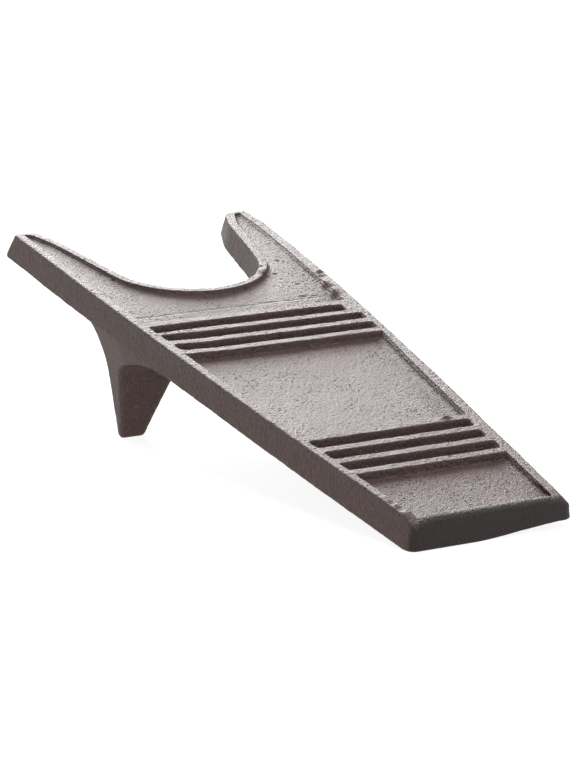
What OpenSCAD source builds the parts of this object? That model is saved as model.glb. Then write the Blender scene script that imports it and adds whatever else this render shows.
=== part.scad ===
// Cast iron boot jack: a tapered deck with a raised rim, two bands of tread bars across it,
// a forked heel end, and two legs that prop the fork off the floor.
// Every shape is drawn with the deck lying flat: rim top on z = 0, toe edge on y = 0, mid-plane on x = 0.
// stand() then tips the whole jack on to its toe and its two feet.

/* [Deck] */
// Length of the rim top from the toe edge to the horn tips, along the deck
deck_length = 285; // [250:1:330]
// Width of the rim top across the toe
toe_width = 55; // [46:1:70]
// Width of the rim top across the two horn tips
heel_width = 102; // [94:1:120]
// How far each flank bows outwards at half length
flank_bow = 2.1; // [0:0.1:4]
// Height of the side face at the toe
toe_height = 11.3; // [9:0.1:16]
// Height of the side face at the horn tips
heel_height = 9.8; // [8:0.1:16]
// Corner radius of the toe, seen from above
toe_corner_r = 2.5; // [1.5:0.5:12]
// How far back the flat under the toe reaches, which rests on the floor
toe_flat = 3.5; // [2:0.5:8]
// Lean of the toe, flank and notch walls, which widen downwards
draft = 7; // [1:0.5:9]
// Lean of the end faces of the horns, which slope outwards too
tip_lean = 30; // [8:1:35]

/* [Rim] */
// Depth of the panels below the rim top
panel_depth = 3.3; // [2:0.1:5]
// Width of the rim along the flanks
side_rim_w = 3.6; // [3:0.1:5]
// Width of the rim along the toe
toe_rim_w = 2.4; // [2.4:0.1:6]
// Width of the rim at the horn tips
tip_rim_w = 2.8; // [2:0.1:4]
// Width of the rim round the heel notch
notch_rim_w = 2; // [1.6:0.1:3]
// Radius on the rim's top edges
rim_round = 0.6; // [0.2:0.1:0.8]
// Radius on the top edge of the toe
toe_round = 1.2; // [0.6:0.1:1.5]
// Radius on the top edge of the horn tips
tip_round = 1.6; // [0.6:0.1:2.2]
// How far the panel walls lean inwards over their height
wall_draft = 0.8; // [0.2:0.1:1.2]

/* [Heel fork] */
// Depth of the heel notch, from the horn tips to its root
notch_depth = 77.8; // [65:0.1:90]
// Radius of the notch root
notch_r = 29.5; // [24:0.5:31]
// Distance from the horn tips to the bend where the tips turn outwards
tip_bend = 14; // [11:0.5:22]
// Width of a horn at that bend
bend_width = 13.6; // [12:0.1:15]
// Radius of that bend
bend_r = 45; // [15:1:60]
// Width of a horn at its tip
tip_width = 8.4; // [7.6:0.1:11]
// Corner radius of a horn tip at its outer side, seen from above
tip_outer_r = 3; // [1.5:0.1:4]
// Corner radius of a horn tip at its inner side
tip_inner_r = 7; // [2:0.1:8]

/* [Tread bars] */
// Number of bars in each band
bar_count = 4; // [2:1:5]
// Spacing of the bars
bar_pitch = 9.55; // [8.5:0.05:10.5]
// Width of a bar's top
bar_width = 3.5; // [2.5:0.1:4]
// Toe edge to the lower band
lower_band_y = 37.9; // [25:0.1:50]
// Upper band to the root of the heel notch
treads_to_notch = 26.85; // [18:0.05:40]
// Radius of the groove corners where the bars run into the rim
groove_r = 1.8; // [0.5:0.1:2.2]

/* [Legs] */
// Front of the feet to the root of the heel notch
leg_to_notch = 19.2; // [12:0.1:30]
// Rim top to the front of the feet, square to the deck
leg_drop = 48.2; // [38:0.1:60]
// Width of a foot
foot_width = 9.1; // [8:0.1:14]
// How far a foot's outer edge stands in from the flank above it
foot_set_in = 0.7; // [0.3:0.1:3]
// Thickness of a foot, along the deck
foot_thick = 4; // [3.4:0.1:8]
// Lean of a leg's inner edge
inner_lean = 27.9; // [15:0.1:31]
// Lean of a leg's back face
back_lean = 21; // [8:0.1:25]
// Lean of a leg's front face
front_lean = 2.2; // [0:0.1:5]
// Lean of a leg's outer face below the deck
outer_lean = 3.2; // [1:0.1:6]
// Length of the haunch that runs from a leg along the underside
haunch_length = 34; // [20:1:50]
// Drop of the haunch where it meets the leg
haunch_drop = 3.4; // [1:0.1:6]
// Fillet between leg and haunch
front_fillet_r = 8; // [3:0.5:12]
// Fillet between a leg's back face and the underside
back_fillet_r = 19; // [8:0.5:24]
// Fillet at the top of the arch between the legs
arch_fillet_r = 10; // [4:0.5:14]
// Corner radius of a foot at its inner side
foot_inner_r = 4.5; // [1:0.1:5]
// Corner radius of a foot at its outer side
foot_outer_r = 2; // [1:0.1:3]
// Radius of a foot's front and back edges
foot_edge_r = 1.2; // [0.5:0.1:1.5]
// Radius of the bottom edge of the horn tips
tip_edge_r = 0.9; // [0.4:0.1:2]

/* [Hidden] */

IRON = "#3d3230";
FLANK_STEPS = 12;
CORNER_STEPS = 6;
ROOT_STEPS = 24;
SHARP = 0.4;
FILLED = 0.96;
EDGE_DEPTHS = [1, 0.6, 0.3, 0.1, 0];
FLARE_SHARES = [1, 0.82, 0.6, 0.36, 0.15, 0];
FAR = 2 * deck_length;

notch_y = deck_length - notch_depth;
root_y = notch_y + notch_r;
bend = [heel_width / 2 - bend_width, deck_length - tip_bend];
from_root = bend - [0, root_y];
notch_flare = atan2(from_root[0], from_root[1]) - asin(notch_r / norm(from_root));
notch_apex = [0, root_y - notch_r / sin(notch_flare)];
tip_inner = [heel_width / 2 - tip_width, deck_length];
tip_outer = [heel_width / 2, deck_length];

leg_y = notch_y - leg_to_notch;
tilt = atan((leg_drop - side_height(toe_flat)) / (leg_y - toe_flat));
lift = side_height(toe_flat) * cos(tilt) - toe_flat * sin(tilt);
toe_foot_y = floor_z(0) * tan(draft) / (1 + tan(draft) * tan(tilt));
tip_foot_y = deck_length + heel_height * tan(tip_lean);
back_reach = tip_foot_y * cos(tilt) + heel_height * sin(tilt);

bar_draft = wall_draft;
band_length = (bar_count - 1) * bar_pitch + bar_width;
front_top_y = leg_y + (leg_drop - side_height(leg_y)) * tan(front_lean);

// Widths and heights along the deck
function along(y) = y / deck_length;
function mix(a, b, t) = a + (b - a) * t;
function half_width(y) = mix(toe_width, heel_width, along(y)) / 2 + 4 * flank_bow * along(y) * (1 - along(y));
function side_height(y) = mix(toe_height, heel_height, along(y));
function floor_z(y) = -side_height(toe_flat) - (y - toe_flat) * tan(tilt);

// A corner turned into an arc of radius r; a radius of zero keeps the corner
function unit(v) = v / norm(v);
function heading(v) = atan2(v[1], v[0]);
function short_turn(a) = a > 180 ? a - 360 : (a < -180 ? a + 360 : a);
function half_angle(before, at, after) = acos(unit(before - at) * unit(after - at)) / 2;
function corner(before, at, after, r, steps) =
    r == 0 ? [at] :
    let (
        u = unit(before - at),
        v = unit(after - at),
        half = half_angle(before, at, after),
        centre = at + unit(u + v) * r / sin(half),
        start = heading(at + u * r / tan(half) - centre),
        turn = short_turn(heading(at + v * r / tan(half) - centre) - start)
    )
    [for (i = [0:steps]) centre + r * [cos(start + turn * i / steps), sin(start + turn * i / steps)]];

// Where a corner goes when its two edges move inwards by d1 and d2
function inward(a, b) = let (v = unit(b - a)) [-v[1], v[0]];
function moved(before, at, after, d1, d2) =
    let (
        m = inward(before, at),
        n = inward(at, after),
        c = m * n
    )
    d1 == d2 ? at + (m + n) * d1 / (1 + c) : at + (m * (d1 - d2 * c) + n * (d2 - d1 * c)) / (1 - c * c);

// The outline, anticlockwise from the right toe corner. Each entry holds a corner, its radius, how the radius
// changes as the outline shrinks, the arc steps, and the edge that follows it:
// 0 the toe, 1 a flank, 2 a horn tip, 3 the notch.
flank = [for (i = [1:FLANK_STEPS - 1]) deck_length * i / FLANK_STEPS];
right_half = [
    [[toe_width / 2, 0], toe_corner_r, -1, CORNER_STEPS, 1],
    for (y = flank) [[half_width(y), y], 0, 0, 0, 1],
    [tip_outer, tip_outer_r, -1, CORNER_STEPS, 2],
    [tip_inner, tip_inner_r, -1, CORNER_STEPS, 3],
    [bend, bend_r, -1, CORNER_STEPS, 3],
    [notch_apex, notch_r, 1, ROOT_STEPS, 3]
];
left_half = [
    for (i = [len(right_half) - 2:-1:0])
        let (c = right_half[i])
        [[-c[0][0], c[0][1]], c[1], c[2], c[3], i == 0 ? 0 : right_half[i - 1][4]]
];
corners = concat(right_half, left_half);

// The outline moved inwards by its own distance along the toe, the flanks, the tips and the notch. Where an edge
// gets too short for the arcs at both its ends, they shrink alike.
function outline(inset = [0, 0, 0, 0]) =
    let (
        n = len(corners),
        at = [for (c = corners) c[0]],
        kind = [for (c = corners) c[4]],
        p = [
            for (i = [0:n - 1])
                let (before = (i + n - 1) % n)
                moved(at[before], at[i], at[(i + 1) % n], inset[kind[before]], inset[kind[i]])
        ],
        r = [for (c = corners) c[1] == 0 ? 0 : max(SHARP, c[1] + c[2] * inset[c[4]])],
        reach = [for (i = [0:n - 1]) r[i] / tan(half_angle(p[(i + n - 1) % n], p[i], p[(i + 1) % n]))],
        share = [
            for (i = [0:n - 1])
                let (after = (i + 1) % n, taken = reach[i] + reach[after])
                taken == 0 ? 1 : min(1, FILLED * norm(p[after] - p[i]) / taken)
        ]
    )
    [
        for (i = [0:n - 1])
            let (before = (i + n - 1) % n)
            each corner(p[before], p[i], p[(i + 1) % n], r[i] * min(share[before], share[i]), corners[i][3])
    ];

// How far a rounded edge of radius r stands back, at a depth below the top
function ease(r, depth) = depth >= r ? 0 : r - sqrt(r * r - (r - depth) * (r - depth));
function wall_lean(depth) = wall_draft * depth / panel_depth;
function spread(depth) = -depth * [tan(draft), tan(draft), tan(tip_lean), tan(draft)];
function outer_inset(depth) = spread(depth) + [for (r = [toe_round, rim_round, tip_round, rim_round]) ease(r, depth)];
function inner_inset(depth) =
    [for (w = [toe_rim_w, side_rim_w, tip_rim_w, notch_rim_w]) w + wall_lean(depth) - ease(rim_round, depth)];

// A solid through closed sections with equal point counts; looped joins the last section to the first
module loft(sections, looped = false) {
    m = len(sections);
    n = len(sections[0]);
    points = [for (s = sections) each s];
    last = looped ? m - 1 : m - 2;
    walls = [
        for (j = [0:last], k = [0:n - 1])
            let (
                a = j * n + k,
                b = j * n + (k + 1) % n,
                c = ((j + 1) % m) * n + (k + 1) % n,
                d = ((j + 1) % m) * n + k
            )
            each [[a, c, b], [a, d, c]]
    ];
    caps = looped ? [] : concat(
        [for (k = [1:n - 2]) [0, k, k + 1]],
        [for (k = [1:n - 2]) [(m - 1) * n, (m - 1) * n + k + 1, (m - 1) * n + k]]
    );
    polyhedron(points, concat(walls, caps), convexity = 8);
}

// A drawing in the y-z plane carried across the deck
module across(points, width) {
    translate([-width / 2, 0, 0]) rotate([90, 0, 90]) linear_extrude(width) polygon(points);
}

// A drawing in the x-z plane carried along the deck
module lengthwise(points, length) {
    translate([0, length, 0]) rotate([90, 0, 0]) linear_extrude(length) polygon(points);
}

// Tips the flat drawing on to its toe and feet, centred over the floor
module stand() {
    translate([0, -back_reach / 2, lift]) rotate([tilt, 0, 0]) children();
}

// The plate below the panels: the widening outline, cut to the wedge seen from the side
module plate() {
    front_top = [-panel_depth * tan(draft), -panel_depth];
    front = [toe_foot_y, floor_z(toe_foot_y)];
    heel = [toe_flat, floor_z(toe_flat)];
    tip = [tip_foot_y, -heel_height];
    tip_top = [deck_length + panel_depth * tan(tip_lean), -panel_depth];
    side_view = concat(
        [front_top],
        corner(front_top, front, heel, foot_edge_r, CORNER_STEPS),
        [heel],
        corner(heel, tip, tip_top, tip_edge_r, CORNER_STEPS),
        [tip_top]
    );
    deepest = max(toe_height, -front[1]);
    levels = [deepest, panel_depth];
    intersection() {
        loft([for (d = levels) [for (p = outline(spread(d))) [p[0], p[1], -d]]]);
        across(side_view, 2 * heel_width);
    }
}

module deck() {
    color(IRON) stand() intersection() {
        plate();
        translate([-FAR / 2, root_y - FAR, -FAR / 2]) cube(FAR);
    }
}

module horn(side) {
    color(IRON) stand() intersection() {
        plate();
        translate([side < 0 ? -FAR : 0, root_y, -FAR / 2]) cube(FAR);
    }
}

// The rim: the outline swept through a drafted section with rounded top edges
module rim() {
    outer = [for (share = EDGE_DEPTHS) share * max(toe_round, tip_round)];
    inner = [for (share = [0, 0.3, 1]) share * rim_round];
    rings = concat(
        [[panel_depth, spread(panel_depth)]],
        [for (depth = outer) [depth, outer_inset(depth)]],
        [for (depth = inner) [depth, inner_inset(depth)]],
        [[panel_depth, inner_inset(panel_depth)]]
    );
    color(IRON) stand() loft([for (r = rings) [for (p = outline(r[1])) [p[0], p[1], -r[0]]]], looped = true);
}

// One tread bar: a drafted bar whose sides flare into the rim walls at both ends
function bar_section(y, side, share) =
    let (
        flare = groove_r - sqrt(max(0, groove_r * groove_r - pow(groove_r * share, 2))),
        half = bar_width / 2 + flare,
        heights = [panel_depth, rim_round, rim_round * 0.3, 0],
        profile = concat(
            [for (d = heights) [y - half - bar_draft * d / panel_depth + ease(rim_round, d), d]],
            [for (i = [3:-1:0]) let (d = heights[i]) [y + half + bar_draft * d / panel_depth - ease(rim_round, d), d]]
        )
    )
    [
        for (p = profile)
            [side * (half_width(p[0]) - side_rim_w - wall_lean(p[1]) - groove_r * (1 - share)), p[0], -p[1]]
    ];

module tread_bar(y) {
    left = [for (share = FLARE_SHARES) bar_section(y, -1, share)];
    right = [for (i = [len(FLARE_SHARES) - 1:-1:0]) bar_section(y, 1, FLARE_SHARES[i])];
    loft(concat(left, right));
}

module band(start) {
    color(IRON) stand() for (i = [0:bar_count - 1]) tread_bar(start + bar_width / 2 + i * bar_pitch);
}

module upper_treads() {
    band(notch_y - treads_to_notch - band_length);
}

module lower_treads() {
    band(lower_band_y);
}

// A leg: the side view and the front view crossed, and trimmed flush with the flank
module leg(side) {
    under = -side_height(leg_y);
    foot_back = leg_y + foot_thick;
    back_top_y = foot_back + (under - floor_z(foot_back)) * tan(back_lean);
    haunch_start = [front_top_y - haunch_length, -side_height(front_top_y - haunch_length)];
    haunch_end = [front_top_y, under - haunch_drop];
    toe_of_foot = [leg_y, floor_z(leg_y)];
    heel_of_foot = [foot_back, floor_z(foot_back)];
    back_top = [back_top_y, -side_height(back_top_y)];
    beyond = [deck_length, -heel_height];
    side_view = concat(
        [haunch_start],
        corner(haunch_start, haunch_end, toe_of_foot, front_fillet_r, CORNER_STEPS),
        corner(haunch_end, toe_of_foot, heel_of_foot, foot_edge_r, CORNER_STEPS),
        corner(toe_of_foot, heel_of_foot, back_top, foot_edge_r, CORNER_STEPS),
        corner(heel_of_foot, back_top, beyond, back_fillet_r, 2 * CORNER_STEPS)
    );

    low = floor_z(foot_back);
    outer_foot_x = half_width(leg_y) - foot_set_in;
    inner_foot_x = outer_foot_x - foot_width;
    outer_top = [outer_foot_x - low * tan(outer_lean), 0];
    outer_foot = [outer_foot_x, low];
    inner_foot = [inner_foot_x, low];
    arch_top = [inner_foot_x - (under - low) * tan(inner_lean), under];
    arch_fillet = corner(inner_foot, arch_top, [0, under], arch_fillet_r, CORNER_STEPS);
    arch_end = arch_fillet[len(arch_fillet) - 1];
    front_view = concat(
        [outer_top],
        corner(outer_top, outer_foot, inner_foot, foot_outer_r, CORNER_STEPS),
        corner(outer_foot, inner_foot, arch_top, foot_inner_r, CORNER_STEPS),
        arch_fillet,
        [[arch_end[0], 0]]
    );

    color(IRON) stand() intersection() {
        across(side_view, 2 * heel_width);
        lengthwise([for (p = front_view) [side * p[0], p[1]]], deck_length);
        translate([0, 0, -2 * leg_drop]) linear_extrude(2 * leg_drop) polygon(outline(spread(-under)));
    }
}

module left_horn() {
    horn(-1);
}

module right_horn() {
    horn(1);
}

module left_leg() {
    leg(-1);
}

module right_leg() {
    leg(1);
}

deck();
left_horn();
right_horn();
rim();
upper_treads();
lower_treads();
left_leg();
right_leg();
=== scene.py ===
from math import atan, cos, radians, sin, tan

import bpy
import numpy as np
from mathutils import Matrix, Vector


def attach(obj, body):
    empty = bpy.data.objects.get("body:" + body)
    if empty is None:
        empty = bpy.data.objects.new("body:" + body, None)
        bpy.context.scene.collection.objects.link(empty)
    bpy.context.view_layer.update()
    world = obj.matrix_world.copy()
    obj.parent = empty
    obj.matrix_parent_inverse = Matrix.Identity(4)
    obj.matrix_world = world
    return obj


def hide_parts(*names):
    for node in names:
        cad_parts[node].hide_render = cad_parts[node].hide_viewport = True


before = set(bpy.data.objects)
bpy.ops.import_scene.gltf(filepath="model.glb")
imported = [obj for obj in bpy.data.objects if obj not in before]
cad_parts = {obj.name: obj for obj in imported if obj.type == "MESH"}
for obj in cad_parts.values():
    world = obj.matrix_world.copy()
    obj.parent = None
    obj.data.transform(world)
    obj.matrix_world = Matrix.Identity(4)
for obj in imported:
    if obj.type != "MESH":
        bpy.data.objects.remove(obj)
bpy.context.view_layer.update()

# A cast iron boot jack, sand-cast in one piece and painted dark brown. Lengths are in millimetres.
# Shapes are worked out on the flat deck: x across, y from the toe edge to the horn tips, z up from
# the rim top. stand() then tips them on to the toe and the two feet, and turns them to metres.

# Deck
DECK_LENGTH = 285.0
TOE_WIDTH = 55.0
HEEL_WIDTH = 102.0
FLANK_BOW = 2.1
TOE_HEIGHT = 11.3
HEEL_HEIGHT = 9.8
TOE_RIGHT_R = 2.6
TOE_LEFT_R = 1.6
TOE_FLAT = 3.5
DRAFT = radians(7)
TIP_LEAN = radians(30)

# Rim round the deck. Each kind of edge has its own value: toe, flanks, horn tips and notch.
TOE, FLANK, TIP, NOTCH = range(4)
PANEL_DEPTH = 3.3
RIM_WIDTHS = np.array([3.5, 3.6, 2.8, 3.2])
TOP_ROUNDS = np.array([2.3, 0.7, 1.0, 0.5])
TOP_DROPS = np.array([2.2, 0.7, 1.0, 0.5])
BOTTOM_ROUNDS = np.array([0.6, 0.8, 2.2, 1.0])
TIP_FACE_LEAN = radians(27.5)
INNER_ROUND = 0.35
WALL_LEAN = 0.55
FLOOR_FILLET = 0.6

# Heel fork
NOTCH_DEPTH = 77.8
NOTCH_R = 29.5
TIP_BEND = 14.0
BEND_WIDTH = 13.6
BEND_R = 45.0
TIP_WIDTH = 8.4
TIP_OUTER_R = 2.2
TIP_INNER_R = 7.0

# Tread bars
BAR_COUNT = 4
BAR_PITCH = 9.55
BAR_WIDTH = 3.5
LOWER_BAND_Y = 37.9
TREADS_TO_NOTCH = 26.85
GROOVE_R = 1.6

# Legs
LEG_TO_NOTCH = 19.2
LEG_DROP = 48.2
FOOT_WIDTH = 9.1
FOOT_SET_IN = 0.7
FOOT_THICK = 4.0
LEG_FULLNESS = 1.0
INNER_LEAN = radians(27.9)
BACK_LEAN = radians(21)
FRONT_LEAN = radians(2.2)
OUTER_LEAN = radians(3.2)
HAUNCH_LENGTH = 34.0
HAUNCH_DROP = 9.8
FRONT_FILLET_R = 5.0
BACK_FILLET_R = 26.0
ARCH_FILLET_R = 10.0
FOOT_INNER_R = 4.5
FOOT_OUTER_R = 2.0
FOOT_EDGE_R = 1.2
LEG_CORNER_R = 2.4

# Fineness of the outline, and how small and how tightly its arcs may get when it shrinks
FLANK_STEPS = 24
CORNER_STEPS = 8
BEND_STEPS = 10
ROOT_STEPS = 60
POINT_SPACING = 0.62
SHARPEST_R = 0.4
EDGE_FILLED = 0.96

METRES = 0.001
TINY = 1e-9

NOTCH_Y = DECK_LENGTH - NOTCH_DEPTH
ROOT_Y = NOTCH_Y + NOTCH_R
BEND = np.array([HEEL_WIDTH / 2 - BEND_WIDTH, DECK_LENGTH - TIP_BEND])
FROM_ROOT = BEND - [0, ROOT_Y]
NOTCH_FLARE = np.arctan2(*FROM_ROOT) - np.arcsin(NOTCH_R / np.hypot(*FROM_ROOT))
NOTCH_APEX = np.array([0, ROOT_Y - NOTCH_R / sin(NOTCH_FLARE)])
LEG_Y = NOTCH_Y - LEG_TO_NOTCH
FOOT_BACK_Y = LEG_Y + FOOT_THICK + LEG_FULLNESS
BAND_LENGTH = (BAR_COUNT - 1) * BAR_PITCH + BAR_WIDTH
UPPER_BAND_Y = NOTCH_Y - TREADS_TO_NOTCH - BAND_LENGTH


def side_height(y):
    """Height of the side face: a straight fall from toe to heel."""
    return TOE_HEIGHT + (HEEL_HEIGHT - TOE_HEIGHT) * y / DECK_LENGTH


def half_width(y):
    """Half the width of the deck: a straight taper plus a parabola for the bow of the flanks."""
    along = y / DECK_LENGTH
    taper = (TOE_WIDTH + (HEEL_WIDTH - TOE_WIDTH) * along) / 2
    return taper + 4 * FLANK_BOW * along * (1 - along)


TILT = atan((LEG_DROP - side_height(TOE_FLAT)) / (LEG_Y - TOE_FLAT))
LIFT = side_height(TOE_FLAT) * cos(TILT) - TOE_FLAT * sin(TILT)
TIP_FOOT_Y = DECK_LENGTH + HEEL_HEIGHT * tan(TIP_LEAN)
BACK_REACH = TIP_FOOT_Y * cos(TILT) + HEEL_HEIGHT * sin(TILT)


def floor_z(y):
    """Height of the floor, seen from the flat deck: a plane that falls to the heel by the tilt."""
    return -side_height(TOE_FLAT) - (y - TOE_FLAT) * tan(TILT)


def stand(points):
    """Tips flat-deck points by the tilt about x, lifts them on to the floor, centres them and
    turns them to metres."""
    x, y, z = np.moveaxis(np.asarray(points, float), -1, 0)
    back = y * cos(TILT) - z * sin(TILT) - BACK_REACH / 2
    up = y * sin(TILT) + z * cos(TILT) + LIFT
    return np.stack([x, back, up], -1) * METRES


def lay_flat(points):
    """Undoes stand(): from metres on the floor back to the flat deck in millimetres."""
    x, back, up = np.moveaxis(np.asarray(points, float) / METRES, -1, 0)
    back, up = back + BACK_REACH / 2, up - LIFT
    y = back * cos(TILT) + up * sin(TILT)
    return np.stack([x, y, up * cos(TILT) - back * sin(TILT)], -1)


def smooth(t):
    """Smooth step: 0 below 0, 1 above 1 and 3t^2 - 2t^3 between."""
    t = np.clip(t, 0, 1)
    return t * t * (3 - 2 * t)


def arc(before, at, after, radius, steps):
    """The corner at `at` turned into an arc: its centre lies on the bisector at radius / sin(half
    the angle)."""
    if radius == 0:
        return np.array([at])
    u = (before - at) / np.linalg.norm(before - at)
    v = (after - at) / np.linalg.norm(after - at)
    half = np.arccos(np.clip(u @ v, -1, 1)) / 2
    centre = at + (u + v) / np.linalg.norm(u + v) * radius / np.sin(half)
    first = at + u * radius / np.tan(half) - centre
    last = at + v * radius / np.tan(half) - centre
    start = np.arctan2(first[1], first[0])
    turn = (np.arctan2(last[1], last[0]) - start + np.pi) % (2 * np.pi) - np.pi
    angle = start + turn * np.linspace(0, 1, steps + 1)
    return centre + radius * np.stack([np.cos(angle), np.sin(angle)], -1)


# Corners of the outline, anticlockwise from the right toe corner: place, radius, how the radius
# changes as the outline shrinks, arc steps, and the kind of edge that follows.
FLANK_YS = DECK_LENGTH * np.arange(1, FLANK_STEPS) / FLANK_STEPS
RIGHT_HALF = (
    [((TOE_WIDTH / 2, 0), TOE_RIGHT_R, -1, CORNER_STEPS, FLANK)]
    + [((half_width(y), y), 0, 0, 0, FLANK) for y in FLANK_YS]
    + [
        ((HEEL_WIDTH / 2, DECK_LENGTH), TIP_OUTER_R, -1, CORNER_STEPS, TIP),
        ((HEEL_WIDTH / 2 - TIP_WIDTH, DECK_LENGTH), TIP_INNER_R, -1, CORNER_STEPS, NOTCH),
        (tuple(BEND), BEND_R, -1, BEND_STEPS, NOTCH),
        (tuple(NOTCH_APEX), NOTCH_R, 1, ROOT_STEPS, NOTCH),
    ]
)
LEFT_HALF = [
    ((-c[0][0], c[0][1]), c[1], c[2], c[3], RIGHT_HALF[i - 1][4] if i else TOE)
    for i, c in reversed(list(enumerate(RIGHT_HALF[:-1])))
]
CORNERS = RIGHT_HALF + LEFT_HALF[:-1] + [(LEFT_HALF[-1][0], TOE_LEFT_R, *LEFT_HALF[-1][2:])]
AT = np.array([c[0] for c in CORNERS], float)
RADIUS, GROWTH = np.array([c[1:3] for c in CORNERS], float).T
STEPS = [c[3] for c in CORNERS]
KIND = np.array([c[4] for c in CORNERS])


def outline(inset):
    """The deck outline moved inwards by its own distance along each kind of edge. A corner moves
    to where its two shifted edges cross, and its arc shrinks or grows with the move; arcs that
    share a short edge shrink alike."""
    inset = np.asarray(inset, float)
    edge = np.roll(AT, -1, 0) - AT
    edge /= np.linalg.norm(edge, axis=1, keepdims=True)
    n = np.stack([-edge[:, 1], edge[:, 0]], -1)
    m = np.roll(n, 1, 0)
    d1, d2 = inset[np.roll(KIND, 1)], inset[KIND]
    c = (m * n).sum(1)
    same = np.abs(d1 - d2) < TINY
    gap = np.where(same, 1, 1 - c * c)
    a = np.where(same, d1 / (1 + c), (d1 - d2 * c) / gap)
    b = np.where(same, d1 / (1 + c), (d2 - d1 * c) / gap)
    p = AT + m * a[:, None] + n * b[:, None]
    r = np.where(RADIUS == 0, 0, np.maximum(SHARPEST_R, RADIUS + GROWTH * d2))
    back, ahead = np.roll(p, 1, 0), np.roll(p, -1, 0)
    u, v = back - p, ahead - p
    cosine = (u * v).sum(1) / np.linalg.norm(u, axis=1) / np.linalg.norm(v, axis=1)
    reach = r / np.tan(np.arccos(np.clip(cosine, -1, 1)) / 2)
    taken = np.maximum(reach + np.roll(reach, -1), TINY)
    share = np.minimum(1, EDGE_FILLED * np.linalg.norm(v, axis=1) / taken)
    r = r * np.minimum(share, np.roll(share, 1))
    return np.concatenate([arc(*c) for c in zip(back, p, ahead, r, STEPS)])


BASE = outline(np.zeros(4))
EDGE_LENGTHS = np.linalg.norm(np.roll(BASE, -1, 0) - BASE, axis=1)
CUTS = np.maximum(1, np.ceil(EDGE_LENGTHS / POINT_SPACING)).astype(int)
CUT_EDGE = np.repeat(np.arange(len(BASE)), CUTS)
CUT_SHARE = (np.arange(len(CUT_EDGE)) - np.repeat(np.cumsum(CUTS) - CUTS, CUTS)) / CUTS[CUT_EDGE]


def even(points):
    """Long edges of an outline cut into equal pieces, the same pieces for every outline."""
    ahead = np.roll(points, -1, 0)
    return points[CUT_EDGE] + (ahead[CUT_EDGE] - points[CUT_EDGE]) * CUT_SHARE[:, None]


def kind_shares():
    """How far each outline point belongs to the four kinds of edge: an arc passes evenly from one
    to the next."""
    one = np.eye(4)
    shares = []
    for i, steps in enumerate(STEPS):
        t = np.linspace(0, 1, steps + 1)[:, None] if RADIUS[i] else np.ones((1, 1))
        shares.append(one[KIND[i - 1]] * (1 - t) + one[KIND[i]] * t)
    return even(np.concatenate(shares))


KIND_SHARES = kind_shares()
FLAT_OUTLINE = even(BASE)


def ring(inset, depth, drafted=True):
    """A closed ring of points `depth` below the rim top. With draft it slides in a straight line
    from the outline at the top to the wider outline at the foot, in proportion to depth; without,
    the inset alone places it."""
    flat = even(outline(inset))
    if drafted:
        spread = TOE_HEIGHT * np.tan([DRAFT, DRAFT, TIP_FACE_LEAN, DRAFT])
        slide = (even(outline(inset - spread)) - flat) / TOE_HEIGHT
        start, down = flat, depth(flat) if callable(depth) else depth
        flat = start + slide * np.broadcast_to(down, len(start))[:, None]
        depth = depth(flat) if callable(depth) else down
        flat = start + slide * np.broadcast_to(depth, len(start))[:, None]
    elif callable(depth):
        depth = depth(flat)
    return np.stack([*flat.T, -np.broadcast_to(depth, len(flat))], -1)


# The toe's edge was cast thin towards its right corner, and the underside of the horns hangs low.
TOE_SKEW = 2.6
TOE_SKEW_START = -6.0
TOE_SKEW_REACH = 12.0
HORN_SAG = 1.0
SAG_START = 130.0
SAG_REACH = 110.0


def horn_sag(y):
    """How much lower than a straight line the underside is cast: a smooth step to the horns."""
    return HORN_SAG * smooth((y - SAG_START) / SAG_REACH)


def under_depth(xy):
    """Depth of the underside: the side height, or the floor under the toe, less a smooth step
    across for the toe's thin edge, plus the sag of the horns."""
    x, y = xy.T
    flat_y = np.clip(y, TOE_FLAT, TIP_FOOT_Y)
    slope = (side_height(TOE_FLAT) - HEEL_HEIGHT) / (TIP_FOOT_Y - TOE_FLAT)
    depth = side_height(TOE_FLAT) - (flat_y - TOE_FLAT) * slope
    depth = np.where(y < TOE_FLAT, -floor_z(y), depth)
    thin = smooth((x - TOE_SKEW_START) / (TOE_WIDTH / 2 - TOE_SKEW_START))
    return depth - TOE_SKEW * (thin * smooth(1 - y / TOE_SKEW_REACH)) + horn_sag(y)


def under_z(x, y):
    """Height of the underside on a grid."""
    return -under_depth(np.stack([x.ravel(), y.ravel()], -1)).reshape(x.shape)


# Depth of the panel floors in the middle and where they meet the flank and notch walls, along the
# deck. A cove joins the two.
FLOOR_YS = [0, 186, 205, 235, 262, 285]
FLOOR_DEPTHS = [2.9, 2.9, 2.1, 1.6, 1.4, 1.2]
FLANK_FOOT_DEPTHS = [1.7, 1.6, 1.5, 1.2, 1.1, 1.1]
NOTCH_FOOT_DEPTHS = [1.6, 1.6, 1.6, 1.5, 1.4, 1.1]
FLANK_COVE = 3.0
NOTCH_COVE = 1.5
BESIDE_NOTCH = (FLAT_OUTLINE[:, 0] > 0) & (FLAT_OUTLINE[:, 1] > ROOT_Y)
NOTCH_SIDE = FLAT_OUTLINE[(KIND_SHARES[:, NOTCH] == 1) & BESIDE_NOTCH]
NOTCH_XS, NOTCH_YS = NOTCH_SIDE[np.argsort(NOTCH_SIDE[:, 1])].T


def notch_gap(x, y):
    """Distance from the notch edge: from the root's circle below its centre, and sideways from
    the edge above."""
    beside = (np.abs(x) - np.interp(y, NOTCH_YS, NOTCH_XS)) * cos(NOTCH_FLARE)
    return np.where(y < ROOT_Y, np.hypot(x, y - ROOT_Y) - NOTCH_R, beside)


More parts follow.
